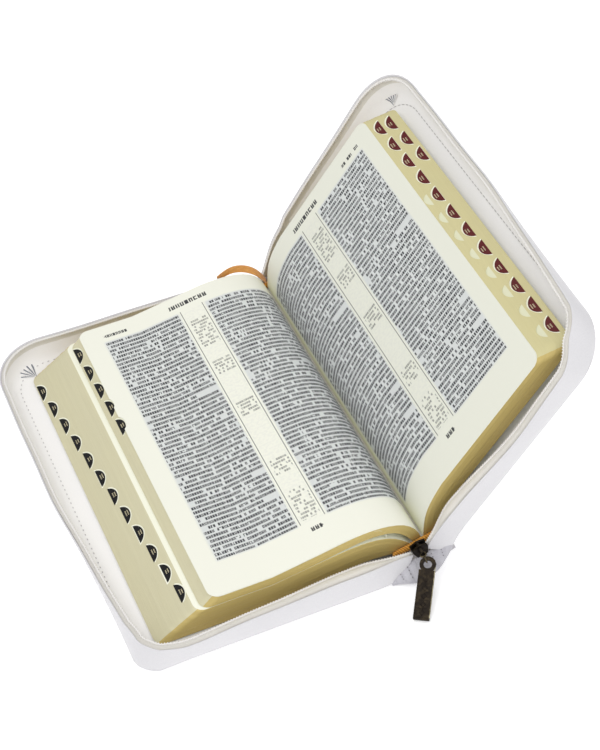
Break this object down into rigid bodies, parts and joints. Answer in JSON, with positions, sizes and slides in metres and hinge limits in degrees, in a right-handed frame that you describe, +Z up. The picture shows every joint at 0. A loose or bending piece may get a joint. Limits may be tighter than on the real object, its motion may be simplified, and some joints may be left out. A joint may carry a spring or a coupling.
{
  "type": "zip-case bible",
  "caption": "Open thumb-indexed bible in a white zip case: hinged covers, leaf piles, a turning leaf, ribbon, headbands and a zip slider with its pull.",
  "frame": {"origin": "middle of the front cover's underside, on the table", "axes": "+X across the book towards the back cover, +Y along the spine towards the head, +Z up"},
  "size_m": [0.255, 0.2673, 0.1352],
  "materials": {
    "case_leather": "white grained leatherette, satin",
    "board": "grey board, matt",
    "lining": "smooth off-white lining, satin",
    "thread": "sewing thread",
    "zip_tape": "woven tape, matt",
    "zip_coil": "nylon coil",
    "antique_brass": "dark antique bronze finish",
    "mull": "open weave cloth",
    "headband": "orange striped woven band",
    "ribbon": "orange satin ribbon",
    "pages": "cream bible paper with gilt edges",
    "index_black": "black index label, matt",
    "index_red": "dark red index label, matt"
  },
  "bodies": {
    "front_case": {"front_cover_leather": "case_leather", "front_cover_board": "board", "front_lining": "lining", "front_turn_in": "lining", "front_stitching": "thread", "front_zip_tape": "zip_tape", "front_zip_coil": "zip_coil", "front_zip_stops": "antique_brass"},
    "spine": {"spine_leather": "case_leather", "spine_stiffener": "board", "block_spine_lining": "mull", "head_headband": "headband", "tail_headband": "headband", "ribbon_marker": "ribbon", "zip_tape_end_tail": "zip_tape", "zip_tape_end_head": "zip_tape", "fold_leather_front": "case_leather", "fold_leather_back": "case_leather", "front_root_lower": "pages", "front_root_upper": "pages", "back_root": "pages"},
    "back_case": {"back_cover_leather": "case_leather", "back_cover_board": "board", "back_lining": "lining", "back_turn_in": "lining", "back_stitching": "thread", "back_zip_tape": "zip_tape", "back_zip_coil": "zip_coil", "back_zip_stops": "antique_brass"},
    "front_leaves": {"front_leaves_lower": "pages", "front_leaves_upper": "pages", "front_flyleaf": "pages", "front_index_tabs_lower": "index_black", "front_index_tabs_upper": "index_black"},
    "back_leaves": {"back_leaves": "pages", "back_flyleaf": "pages", "back_index_tabs_row": "index_red", "back_index_tabs_end": "index_red"},
    "turning_leaf": {"turning_leaf": "pages"},
    "slider": {"slider_body": "antique_brass", "slider_bridge": "antique_brass"},
    "pull_link": {"pull_link": "antique_brass"},
    "pull_plate": {"pull_plate": "antique_brass"}
  },
  "joints": [
    {"name": "front_joint", "type": "hinge", "parent": "front_case", "child": "spine", "pos_m": [0.07075, 0, 0.002], "axis": [0, 1, 0], "range_deg": [-74.4, 15.6], "deforming": ["fold_leather_front"]},
    {"name": "back_joint", "type": "hinge", "parent": "spine", "child": "back_case", "pos_m": [0.10412, 0, 0.02087], "axis": [0, 1, 0], "range_deg": [-54.6, 35.4], "deforming": ["fold_leather_back"]},
    {"name": "front_leaves_follow", "type": "hinge", "parent": "spine", "child": "front_leaves", "pos_m": [0.07255, 0, 0.0043], "axis": [0, 1, 0], "range_deg": [-15.7, 74.5], "deforming": ["front_root_lower", "front_root_upper", "ribbon_marker"]},
    {"name": "back_leaves_follow", "type": "hinge", "parent": "spine", "child": "back_leaves", "pos_m": [0.09955, 0, 0.0271], "axis": [0, 1, 0], "range_deg": [-54.7, 35.5], "deforming": ["back_root"]},
    {"name": "leaf_turn", "type": "hinge", "parent": "front_leaves", "child": "turning_leaf", "pos_m": [0.08775, 0, 0.017], "axis": [0, 1, 0], "range_deg": [0, 88], "deforming": ["turning_leaf"]},
    {"name": "slider_slide", "type": "slide", "parent": "spine", "child": "slider", "axis": [0.2689, 0, -0.9632], "range_m": [-0.008, 0]},
    {"name": "link_swing", "type": "hinge", "parent": "slider", "child": "pull_link", "pos_m": [0.08519, -0.1118, 0.01303], "axis": [-0.9632, 0, -0.2689], "range_deg": [0, 12]},
    {"name": "pull_swing", "type": "hinge", "parent": "pull_link", "child": "pull_plate", "pos_m": [0.08485, -0.11618, 0.0129], "axis": [-0.9792, 0.082, -0.1855], "range_deg": [0, 45]}
  ],
  "couplings": [
    {"joint": "front_leaves_follow", "follows": "front_joint", "ratio": -1},
    {"joint": "back_leaves_follow", "follows": "back_joint", "ratio": 1}
  ]
}
